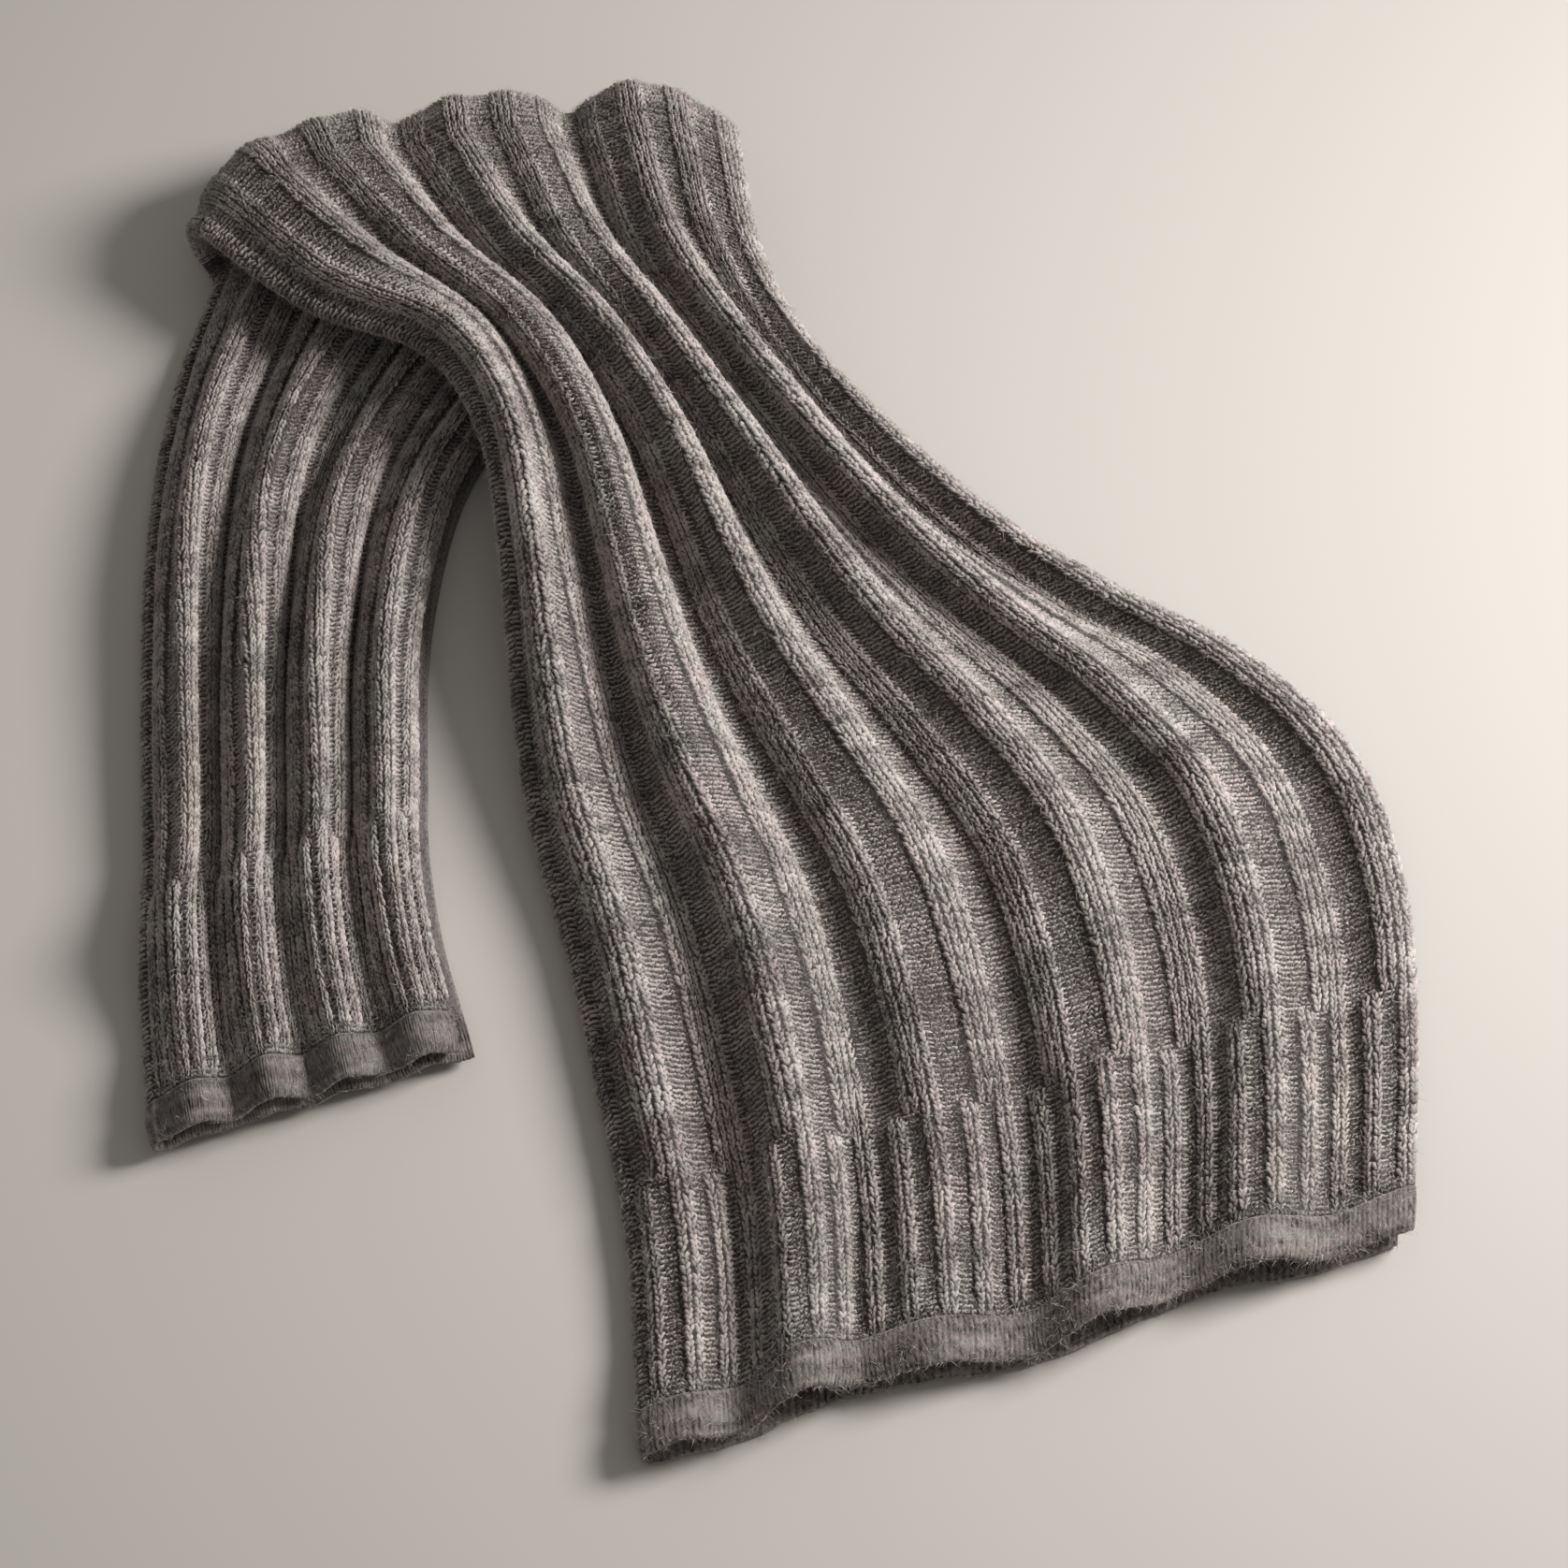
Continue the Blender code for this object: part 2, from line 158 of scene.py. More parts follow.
def fold_height(folds, stops, along, place):
    height = np.zeros_like(place)
    for _, centres, heights, widths in folds:
        centre, top, width = (float(smooth_curve(stops, part, along)) for part in (centres, heights, widths))
        off = np.clip(np.abs(place - centre) / width, 0, 1)
        height += max(top, 0) * np.cos(off * math.pi / 2) ** 2
    return height


def near_crown(along, reach):
    """1 in the crosswise fold, and 0 further from it than the reach."""
    return 1 - float(ease(0, reach, max(CROWN - along, along - BACK, 0.0)))


def rounded(wave):
    """A sine wave turned into round ribs with steep sides."""
    return np.sign(wave) * np.abs(wave) ** RIB_ROUNDNESS


def rib_wave(along, across):
    """From a purl channel to a knit rib: wide ribs, and ribs half as wide beside each end band."""
    swing = 2 * math.pi * along / RIB_WOBBLE_LENGTH + 2.1 * np.floor(across / RIB_PITCH)
    wobble = RIB_WOBBLE * np.sin(swing)
    phase = 2 * math.pi * (across + wobble) / RIB_PITCH
    from_end = min(along, PANEL_LENGTH - along)
    share = ease(NARROW_RIB_LENGTH - 0.012, NARROW_RIB_LENGTH + 0.012, from_end)
    fade = ease(0.004, 0.014, from_end) * (1 - CROWN_FLATTENING * near_crown(along, CROWN_RIB_REACH))
    wide, narrow = rounded(np.sin(phase)), rounded(np.sin(2 * phase))
    return fade * (share * wide * RIB_RELIEF + (1 - share) * narrow * NARROW_RIB_RELIEF)


def crown_fall(place):
    """How far each place of the crosswise fold lies back from the straight line of the crown."""
    return smooth_curve(np.linspace(0, 1, len(CROWN_FALL)), CROWN_FALL, place)


def end_share(along, reach):
    """1 at either end of the panel, and 0 further from it than the reach."""
    return 1 - float(ease(0.006, reach, min(along, PANEL_LENGTH - along)))


class Section:
    """One crosswise section of the folded cloth.

    Heights count from the lower layer up on the front half, and from the top layer down on the back half.
    """

    def __init__(self, along):
        self.along = along
        self.turn = math.pi * min(max((along - CROWN) / TURN_LENGTH, 0.0), 1.0)
        self.gap = LAYER_GAP + (END_LAYER_GAP - LAYER_GAP) * end_share(along, END_REACH)
        front = self.turn < math.pi
        sections, columns = (FRONT_SECTIONS, FRONT_COLUMNS) if front else (BACK_SECTIONS, BACK_COLUMNS)
        at = min(along, CROWN) if front else along
        self.right = np.array([column(sections, columns, name, at) for name in ("right_x", "right_y")])
        self.left = np.array([column(sections, columns, name, at) for name in ("left_x", "left_y")])
        self.width = float(np.linalg.norm(self.left - self.right))
        self.line = (self.left - self.right) / self.width
        self.towards_crown = np.array([self.line[1], -self.line[0]])
        lift = (BAND_THICKNESS - CLOTH) / 2 * end_share(along, END_REACH)
        if front:
            levels = [column(sections, columns, name, at) for name in ("right_level", "left_level")]
            self.levels = [max(level, CLOTH / 2) + lift for level in levels]
        else:
            self.levels = [CLOTH / 2 + lift + max(column(sections, columns, "hump", at), 0.0)] * 2
        self.upper = self.spread(True)
        self.lower = self.spread(False)

    def spread(self, upper):
        """One layer across the section: its places, its heights and the share of rib relief it shows."""
        first = 0 if upper else LOWER_INSET / self.width
        place = np.linspace(first, 1 - EDGE_FOLD / self.width, SECTION_SAMPLES)
        if self.turn < math.pi:
            folds = fold_height(FRONT_FOLDS, FRONT_STOPS, min(self.along, CROWN), place)
            folds = folds * (1 - float(ease(0.35 * math.pi, 0.8 * math.pi, self.turn)))
            nested = NESTING * float(ease(0.30, 0.55, self.along))
            height = self.gap + folds if upper else nested * folds
        else:
            folds = fold_height(BACK_FOLDS, BACK_STOPS, self.along, place)
            height = self.gap - NESTING * folds if upper else -folds
        turned = float(ease(0.4 * math.pi, 0.6 * math.pi, self.turn))
        return place, height, 1 - turned if upper else -turned

    def points(self, across):
        """World points of the cloth's middle at distances across it."""
        place = np.zeros_like(across)
        height = np.zeros_like(across)
        for (places, heights, shown), chosen, distance in (
            (self.upper, across <= UPPER_WIDTH, across),
            (self.lower, across >= LOWER_START, THROW_WIDTH - across),
        ):
            flat, rise = np.gradient(places) * self.width, np.gradient(heights)
            run = np.hypot(flat, rise)
            length = np.concatenate([[0], np.cumsum((run[1:] + run[:-1]) / 2)])
            at = distance[chosen] / UPPER_WIDTH * length[-1]
            relief = shown * rib_wave(self.along, distance[chosen])
            steep, level = (np.interp(at, length, part / run) for part in (rise, flat))
            place[chosen] = np.interp(at, length, places) - relief * steep / self.width
            height[chosen] = np.interp(at, length, heights) + relief * level
        turning = (across > UPPER_WIDTH) & (across < LOWER_START)
        angle = (across[turning] - UPPER_WIDTH) / (LOWER_START - UPPER_WIDTH) * math.pi
        top, bottom = self.upper[1][-1], self.lower[1][-1]
        place[turning] = self.upper[0][-1] + 0.7 * EDGE_FOLD / self.width * np.sin(angle)
        height[turning] = (top + bottom) / 2 + (top - bottom) / 2 * np.cos(angle)
        return self.placed(place, height)

    def outward(self, place):
        """The way out of the crosswise fold, which swings round as the crown line falls at its left end."""
        step = 0.01
        slope = np.maximum(crown_fall(place + step) - crown_fall(place - step), 0) / (2 * step * self.width)
        return (self.towards_crown + slope[:, None] * self.line) / np.hypot(1, slope)[:, None]

    def placed(self, place, height):
        """A place across and a height, as world points, carried round the crown."""
        plan = self.right + place[:, None] * (self.left - self.right)
        fall = crown_fall(place) * near_crown(self.along, CROWN_FALL_REACH)
        plan = plan - fall[:, None] * self.towards_crown
        if self.turn == 0:
            lean = smooth_curve(np.linspace(0, 1, len(FRONT_END_LEAN)), FRONT_END_LEAN, place)
            plan = plan - (lean * end_share(self.along, END_LEAN_REACH))[:, None] * self.towards_crown
            rise = self.levels[0] + (self.levels[1] - self.levels[0]) * place + height
        elif self.turn < math.pi:
            reach = CROWN_RADIUS + height
            plan = plan + (reach * math.sin(self.turn))[:, None] * self.outward(place)
            rise = np.maximum(TURN_HEIGHT + reach * math.cos(self.turn), CLOTH / 2)
        else:
            rise = self.levels[0] + self.gap - height
        return np.column_stack([plan - PLAN_CENTRE, rise])


YARN_DARK = (0.036, 0.032, 0.030)
YARN_PALE = (0.475, 0.428, 0.402)
GREEN_CAST = (0.965, 1.010, 0.975)
MAUVE_CAST = (1.055, 0.975, 0.980)
FIBRE_SIZE = 0.0011
MELANGE = 1.15


def node(tree, kind, **settings):
    made = tree.nodes.new(kind)
    for name, value in settings.items():
        setattr(made, name, value)
    return made


def fibre_group():
    """Fine brushed fibres, as one value for colour and for bump."""
    group = bpy.data.node_groups.new("brushed_fibres", "ShaderNodeTree")
    group.interface.new_socket("Stretch", in_out="INPUT", socket_type="NodeSocketVector")
    group.interface.new_socket("Fibres", in_out="OUTPUT", socket_type="NodeSocketFloat")
    inputs, outputs = node(group, "NodeGroupInput"), node(group, "NodeGroupOutput")
    place = node(group, "ShaderNodeTexCoord")
    stretched = node(group, "ShaderNodeVectorMath", operation="MULTIPLY")
    fine = node(group, "ShaderNodeTexNoise")
    fine.inputs["Scale"].default_value = 1 / FIBRE_SIZE
    fine.inputs["Detail"].default_value = 3
    fine.inputs["Roughness"].default_value = 0.65
    group.links.new(place.outputs["Object"], stretched.inputs[0])
    group.links.new(inputs.outputs["Stretch"], stretched.inputs[1])
    group.links.new(stretched.outputs[0], fine.inputs["Vector"])
    group.links.new(fine.outputs["Fac"], outputs.inputs["Fibres"])
    return group


brushed_fibres = fibre_group()


def yarn_material(name, shade):
    """Melange yarn, made lighter or darker by the shade, with a mauve or greenish cast that drifts along it.

    The drift is in the colour attribute "yarn" of each vertex: lightness, which also holds painted shade and
    painted highlights, warmth and a random share.
    """
    material = bpy.data.materials.new(name)
    material.use_nodes = True
    tree = material.node_tree
    shader = tree.nodes["Principled BSDF"]
    shader.inputs["Roughness"].default_value = 0.95
    shader.inputs["Specular IOR Level"].default_value = 0.12
    shader.inputs["Sheen Weight"].default_value = 0.30
    shader.inputs["Sheen Roughness"].default_value = 0.40
    shader.inputs["Sheen Tint"].default_value = (0.95, 0.90, 0.87, 1)
    drift = node(tree, "ShaderNodeAttribute", attribute_name="yarn")
    parts = node(tree, "ShaderNodeSeparateColor")
    tree.links.new(drift.outputs["Color"], parts.inputs[0])
    fibres = node(tree, "ShaderNodeGroup", node_tree=brushed_fibres)
    fibres.inputs["Stretch"].default_value = (1.0, 0.5, 1.0)
    less = node(tree, "ShaderNodeMath", operation="SUBTRACT")
    less.inputs[1].default_value = MELANGE / 2
    tree.links.new(parts.outputs[0], less.inputs[0])
    lightness = node(tree, "ShaderNodeMath", operation="MULTIPLY_ADD")
    lightness.inputs[1].default_value = MELANGE
    tree.links.new(fibres.outputs["Fibres"], lightness.inputs[0])
    tree.links.new(less.outputs[0], lightness.inputs[2])
    grey = node(tree, "ShaderNodeMix", data_type="RGBA")
    grey.inputs[6].default_value = (*[shade * c for c in YARN_DARK], 1)
    grey.inputs[7].default_value = (*[shade * c for c in YARN_PALE], 1)
    tree.links.new(lightness.outputs[0], grey.inputs[0])
    cast = node(tree, "ShaderNodeMix", data_type="RGBA")
    cast.inputs[6].default_value = (*GREEN_CAST, 1)
    cast.inputs[7].default_value = (*MAUVE_CAST, 1)
    tree.links.new(parts.outputs[1], cast.inputs[0])
    tinted = node(tree, "ShaderNodeMix", data_type="RGBA", blend_type="MULTIPLY")
    tinted.inputs[0].default_value = 1.0
    tree.links.new(grey.outputs[2], tinted.inputs[6])
    tree.links.new(cast.outputs[2], tinted.inputs[7])
    tree.links.new(tinted.outputs[2], shader.inputs["Base Color"])
    bump = node(tree, "ShaderNodeBump")
    bump.inputs["Strength"].default_value = 0.6
    bump.inputs["Distance"].default_value = 0.0007
    tree.links.new(fibres.outputs["Fibres"], bump.inputs["Height"])
    tree.links.new(bump.outputs["Normal"], shader.inputs["Normal"])
    return material


GROUND_THICKNESS = 0.0030
GROUND_COLUMNS_PER_RIB = 8
GROUND_STEP = 0.018
GROUND_CROWN_STEP = 0.0065
GROUND_LEAST_STEP = 0.0015
# Painted shade: the ground under the stitches is near black for the shade in the gaps between yarns, and bare
# ground keeps the yarn's own lightness.
STITCHED_PAINTED_SHADE = 0.02
BARE_LIGHTNESS = 0.30
STITCHED_TURN = CROWN + 0.75 * TURN_LENGTH

rng = np.random.default_rng(7)


def ground_rows():
    """Distances along the cloth where the ground has a row: closer in the crown and where the ribs narrow."""
    rows = list(np.arange(0, CROWN - 0.01, GROUND_STEP)) + list(np.arange(CROWN, BACK, GROUND_CROWN_STEP))
    rows += list(np.arange(BACK, PANEL_LENGTH, GROUND_STEP)) + [0.004, 0.009, 0.014, PANEL_LENGTH]
    for end in (NARROW_RIB_LENGTH, PANEL_LENGTH - NARROW_RIB_LENGTH):
        rows += [end - 0.006, end - 0.002, end + 0.002, end + 0.006]
    rows += [PANEL_LENGTH - 0.004, PANEL_LENGTH - 0.009, PANEL_LENGTH - 0.014]
    rows = sorted(rows)
    return [a for a, b in zip(rows, rows[1:] + [math.inf]) if b - a > GROUND_LEAST_STEP]


def grid_mesh(name, points, rows, columns):
    """A sheet through rows of points."""
    corner = (np.arange(rows - 1)[:, None] * columns + np.arange(columns - 1)[None, :]).ravel()
    faces = np.column_stack([corner, corner + columns, corner + columns + 1, corner + 1])
    return plain_mesh(name, points, faces[:, ::-1])


def plain_mesh(name, points, faces):
    """A mesh from arrays, all of whose faces have the same number of corners."""
    mesh = bpy.data.meshes.new(name)
    mesh.vertices.add(len(points))
    mesh.vertices.foreach_set("co", np.asarray(points, np.float32).ravel())
    corners = faces.shape[1]
    mesh.loops.add(faces.size)
    mesh.loops.foreach_set("vertex_index", np.asarray(faces, np.int32).ravel())
    mesh.polygons.add(len(faces))
    mesh.polygons.foreach_set("loop_start", np.arange(0, faces.size, corners, dtype=np.int32))
    mesh.update(calc_edges=True)
    mesh.shade_smooth()
    return mesh


def add_piece(name, mesh, material):
    piece = bpy.data.objects.new(name, mesh)
    bpy.context.scene.collection.objects.link(piece)
    mesh.materials.append(material)
    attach(piece, "root")
    return piece


def set_yarn(mesh, values):
    layer = mesh.attributes.new("yarn", "FLOAT_COLOR", "POINT")
    colours = np.column_stack([values, np.ones(len(values))]).astype(np.float32)
    layer.data.foreach_set("color", colours.ravel())


half_columns = np.linspace(0, UPPER_WIDTH, RIBS // 2 * GROUND_COLUMNS_PER_RIB + 1)
fold_columns = np.linspace(UPPER_WIDTH, LOWER_START, 7)[1:-1]
ground_across = np.concatenate([half_columns, fold_columns, (THROW_WIDTH - half_columns)[::-1]])
ground_along = ground_rows()
ground_points = np.concatenate([Section(along).points(ground_across) for along in ground_along])
ground_mesh = grid_mesh("knit_ground", ground_points, len(ground_along), len(ground_across))
at_along, at_across = np.repeat(ground_along, len(ground_across)), np.tile(ground_across, len(ground_along))
# Painted shade on the ground wherever stitches cover it, with a random spread of tone.
painted_shade_mask = np.where(at_along < STITCHED_TURN, at_across <= LOWER_START, at_across >= UPPER_WIDTH)
ground_lightness_and_painted_shade = np.where(painted_shade_mask, STITCHED_PAINTED_SHADE, BARE_LIGHTNESS)
ground_lightness_and_painted_shade = ground_lightness_and_painted_shade + rng.uniform(-0.08, 0.08, len(ground_points))
ground_values = np.column_stack([ground_lightness_and_painted_shade.clip(0, 1), rng.uniform(0.3, 0.7, (len(ground_points), 2))])
set_yarn(ground_mesh, ground_values)
panel = add_piece("knit_panel_ground", ground_mesh, yarn_material("ground_yarn", 0.90))
thicken = panel.modifiers.new("cloth thickness", "SOLIDIFY")
thicken.thickness = GROUND_THICKNESS
thicken.offset = 0
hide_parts("knit_panel")

# Stitches
# Each knit stitch is a V of two legs and each purl stitch two short crosswise loops, all of yarn about 3 mm
# thick. Four knit and four purl wales make a rib, and two of each make the narrow ribs beside the end bands.
WALES = 8 * RIBS
WALE = THROW_WIDTH / WALES
COURSE = 0.0040
CROWN_STRETCH = 1.7
CROWN_STRETCH_REACH = 0.02
GRID_PER_WALE = 4
LEG_HALF_WIDTH = 0.00135
LOOP_HALF_WIDTH = 0.0012
YARN_HEIGHT = 0.0017
YARN_SUNK = -0.0004
HIDDEN_MARGIN = 0.05
KNEE = 0.40
WAIST = 0.74
ANKLE = 1.50


def course_rows():
    """Distances along the cloth of its courses: closer in the crown, whose folds spread them apart."""
    rows = [0.0]
    while rows[-1] < PANEL_LENGTH:
        rows.append(rows[-1] + COURSE / (1 + (CROWN_STRETCH - 1) * near_crown(rows[-1], CROWN_STRETCH_REACH)))
    return np.array(rows) * PANEL_LENGTH / rows[-1]


grid_across = np.linspace(0, THROW_WIDTH, WALES * GRID_PER_WALE + 1)
grid_along = course_rows()
COURSES = len(grid_along) - 1
grid = np.array([Section(along).points(grid_across) for along in grid_along])
grid_out = np.cross(np.gradient(grid, axis=0), np.gradient(grid, axis=1))
grid_out /= np.linalg.norm(grid_out, axis=2)[:, :, None]


def read_grid(field, wale, course):
    """A field kept at the grid's points, read at places in wales across and courses along."""
    u = np.clip(wale * GRID_PER_WALE, 0, WALES * GRID_PER_WALE - 0.001)
    v = np.clip(course, 0, COURSES - 0.001)
    i, j = v.astype(int), u.astype(int)
    s, t = (v - i)[..., None], (u - j)[..., None]
    near = field[i, j] * (1 - t) + field[i, j + 1] * t
    far = field[i + 1, j] * (1 - t) + field[i + 1, j + 1] * t
    return near * (1 - s) + far * s


def on_cloth(wale, course, height):
    """World points a height above the ground's outer face."""
    rise = (GROUND_THICKNESS / 2 + height)[..., None]
    return read_grid(grid, wale, course) + read_grid(grid_out, wale, course) * rise


def strand(start, end, arch, half_width):
    """A short length of yarn as eight points in wales, courses and height.

    They are its two ends and, at two places between, an edge, the top and the other edge.
    """
    start, end = np.array(start), np.array(end)
    run = (end - start) * (WALE, COURSE)
    side = np.array([-run[1], run[0]]) / np.hypot(*run) * half_width / (WALE, COURSE)
    points = [(*start, YARN_SUNK)]
    for t in (0.28, 0.72):
        middle = start + (end - start) * t + (0, arch)
        points += [(*(middle - side), YARN_SUNK), (*middle, YARN_HEIGHT), (*(middle + side), YARN_SUNK)]
    return np.array(points + [(*end, YARN_SUNK)])


STRAND_FACES = np.array(
    [(0, 1, 2), (0, 2, 3), (1, 4, 5), (1, 5, 2), (2, 5, 6), (2, 6, 3), (4, 7, 5), (5, 7, 6)]
)
# Painted shading on every strand: its sunk edges and ends darker as painted shade in the gaps between yarns,
# its top lighter as a painted highlight.
STRAND_PAINTED_SHADING = np.array([-0.26, -0.36, 0.24, -0.36, -0.36, 0.24, -0.36, -0.26])
KNIT_LEGS = (
    strand((0.50, -0.40), (0.15, 1.12), 0.0, LEG_HALF_WIDTH),
    strand((0.50, -0.40), (0.85, 1.12), 0.0, LEG_HALF_WIDTH),
)
PURL_LOOPS = (
    strand((0.14, 0.02), (0.86, 0.02), 0.46, LOOP_HALF_WIDTH),
    strand((0.64, 0.96), (1.36, 0.96), -0.46, LOOP_HALF_WIDTH),
)
LOOP_TILT = 0.28


def is_knit(wale, course):
    """Whether a stitch is knit on its outer side. The ribs count from the right edge on both layers."""
    from_edge = np.minimum(wale, WALES - 1 - wale)
    from_end = np.minimum(course, COURSES - 1 - course) * COURSE
    narrow = from_end < NARROW_RIB_LENGTH
    return np.where(narrow, from_edge % 4 < 2, from_edge % 8 < 4)


def drift(table, course, wale, length):
    """Smooth random values that change every length of wales along each course's yarn."""
    x = wale / length
    i = np.floor(x).astype(int)
    t = x - i
    t = t * t * (3 - 2 * t)
    rows = course % table.shape[0]
    return table[rows, i % table.shape[1]] * (1 - t) + table[rows, (i + 1) % table.shape[1]] * t


def smoothed(table, rows):
    """A random table blurred over neighbouring courses, kept at its old spread."""
    blurred = np.apply_along_axis(lambda line: np.convolve(line, np.ones(rows) / rows, "same"), 0, table)
    return 0.5 + (blurred - 0.5) * math.sqrt(rows)


DRIFT_VALUES = 97
SLOW_DRIFT = 0.42
QUICK_DRIFT = 0.34
STITCH_DRIFT = 0.34

slow = smoothed(rng.uniform(0, 1, (COURSES, DRIFT_VALUES)), 5)
quick = rng.uniform(0, 1, (COURSES, DRIFT_VALUES))
warm = smoothed(rng.uniform(0, 1, (COURSES, DRIFT_VALUES)), 7)


def yarn_values(course, wale, painted_shading_tones):
    """Lightness, warmth and a random share for strands at the given stitches, one row of tones a strand; the
    tones add painted shade and painted highlights to the lightness.
    """
    count = len(course)
    tone = SLOW_DRIFT * (drift(slow, course, wale, 8.0) - 0.5)
    tone = tone + QUICK_DRIFT * (drift(quick, course, wale, 2.5) - 0.5)
    tone += STITCH_DRIFT * (rng.uniform(0, 1, count) - 0.5)
    # The lightness takes the painted shade and painted highlights of the tones.
    lightness = 0.50 + tone[:, None] + painted_shading_tones + rng.normal(0, 0.07, (count, painted_shading_tones.shape[-1]))
    warmth = 0.5 + 1.1 * (drift(warm, course, wale, 6.0) - 0.5) + 0.4 * (rng.uniform(0, 1, count) - 0.5)
    warmth = np.repeat(warmth[:, None], painted_shading_tones.shape[-1], axis=1)
    return np.stack([lightness, warmth, rng.uniform(0, 1, warmth.shape)], axis=2).clip(0, 1)


front_edges = np.array([[*s.right, *s.left] for s in map(Section, np.linspace(0, CROWN, 60))])
front_edges -= (*PLAN_CENTRE, *PLAN_CENTRE)


def hidden(points):
    """Whether points lie well inside the outline of the front half, seen from above."""
    right = np.interp(points[:, 1], front_edges[:, 1], front_edges[:, 0])
    left = np.interp(points[:, 1], front_edges[:, 3], front_edges[:, 2])
    return (points[:, 0] > left + HIDDEN_MARGIN) & (points[:, 0] < right)


def stitches_between(courses, wales, under_front):
    """The courses and wales of the stitches in a stretch of cloth, but for what the front half hides."""
    course, wale = (part.ravel() for part in np.mgrid[courses[0] : courses[1], wales[0] : wales[1]])
    if under_front:
        shown = ~hidden(on_cloth(wale + 0.5, course + 0.5, np.zeros(len(wale))))
        course, wale = course[shown], wale[shown]
    return course, wale


def stitch_piece(name, courses, wales, under_front=False):
    """The stitches of one stretch of cloth, as one mesh of separate strands."""
    course, wale = stitches_between(courses, wales, under_front)
    knit = is_knit(wale, course)
    points, yarn = [], []
    for chosen, shapes, tilt in ((knit, KNIT_LEGS, 0.0), (~knit, PURL_LOOPS, LOOP_TILT)):
        for shape in shapes:
            at_course, at_wale = course[chosen], wale[chosen]
            count = len(at_course)
            off_middle = shape[None, :, 0] - shape[:, 0].mean()
            across = at_wale[:, None] + shape[None, :, 0] + rng.normal(0, 0.07, (count, 1))
            along = at_course[:, None] + shape[None, :, 1] + rng.normal(0, 0.10, (count, 1))
            along = along + off_middle * rng.normal(0, 1, (count, 1)) * tilt
            height = shape[None, :, 2] * rng.uniform(0.65, 1.30, (count, 1))
            points.append(on_cloth(across, along, height).reshape(-1, 3))
            # Each strand's vertices carry painted shade at its edges and ends and a painted highlight on its
            # top.
            yarn.append(yarn_values(at_course, at_wale, STRAND_PAINTED_SHADING[None]).reshape(-1, 3))
    faces = (np.arange(sum(map(len, points)) // 8)[:, None, None] * 8 + STRAND_FACES[None]).reshape(-1, 3)
    mesh = plain_mesh(name, np.concatenate(points), faces)
    set_yarn(mesh, np.concatenate(yarn))
    piece = add_piece(name, mesh, stitch_yarn)
    return piece


def course_at(along):
    return int(np.searchsorted(grid_along, along))


stitch_yarn = yarn_material("stitch_yarn", 1.0)
upper_wales = (0, int(LOWER_START / WALE) + 2)
lower_wales = (int(UPPER_WIDTH / WALE) - 2, WALES)
knee, waist, ankle = course_at(KNEE), course_at(WAIST), course_at(ANKLE)
over_crown, under_crown = course_at(STITCHED_TURN), course_at(BACK - 0.01)
stitches = [
    stitch_piece("stitches_hem", (0, knee), upper_wales),
    stitch_piece("stitches_waist", (knee, waist), upper_wales),
    stitch_piece("stitches_crown", (waist, over_crown), upper_wales),
    stitch_piece("stitches_back", (under_crown, ankle), lower_wales, under_front=True),
    stitch_piece("stitches_tail", (ankle, COURSES), lower_wales),
]

# Knitted side edges
# The outermost wale on each side is a chain of long, thick stitches, one for every two courses, standing a
# little proud of the cloth.
CHAIN_HALF_WIDTH = 0.0021
CHAIN_STITCH = strand((0.42, -0.25), (0.10, 2.25), 0.0, CHAIN_HALF_WIDTH) * (1, 1, 1.35)


def chain_edge(name, courses, at_wale, inward):
    """The chain stitches along one side edge, each reaching inward (1 or -1) from the edge wale."""
    course = np.arange(courses[0], courses[1], 2)
    wale = np.full(len(course), at_wale)
    across = wale[:, None] + inward * CHAIN_STITCH[None, :, 0] + rng.normal(0, 0.04, (len(course), 1))
    along = course[:, None] + CHAIN_STITCH[None, :, 1] + rng.normal(0, 0.10, (len(course), 1))
    height = CHAIN_STITCH[None, :, 2] * rng.uniform(0.85, 1.15, (len(course), 1))
    faces = (np.arange(len(course))[:, None, None] * 8 + STRAND_FACES[None, :, ::inward]).reshape(-1, 3)
    mesh = plain_mesh(name, on_cloth(across, along, height).reshape(-1, 3), faces)
    # Each chain stitch's vertices carry painted shade at its edges and ends and a painted highlight on its
    # top.
    set_yarn(mesh, yarn_values(course, wale, STRAND_PAINTED_SHADING[None]).reshape(-1, 3))
    piece = add_piece(name, mesh, stitch_yarn)
    return piece


chains = [
    chain_edge("chain_right", (0, COURSES - 2), 0.0, 1),
    chain_edge("chain_left", (0, COURSES - 2), WALES, -1),
]

# End bands
# A tube of much finer plain knit, 32 mm wide and puffy, linked to each end of the panel. It follows the end
# round the lengthwise fold. Its wales are fine ridges from the seam to the edge, about 3.4 mm apart.
BAND_SEAM = 0.0002
BAND_WALE = 0.0034
BAND_RIDGE = 0.00050
# Painted light and shade on the end bands: each wale ridge lighter as a painted highlight, each groove darker
# as painted shade.
BAND_RIDGE_PAINTED_SHADING = (0.16, -0.20)
BAND_COLUMNS = 2 * int(UPPER_WIDTH / BAND_WALE)
HIDDEN_BAND_COLUMNS = 200
BAND_SHAPE = (
    (0.00, 0.13),
    (0.04, 0.28),
    (0.12, 0.39),
    (0.24, 0.47),
    (0.38, 0.50),
    (0.52, 0.50),
    (0.66, 0.46),
    (0.79, 0.39),
    (0.90, 0.27),
    (0.98, 0.13),
)


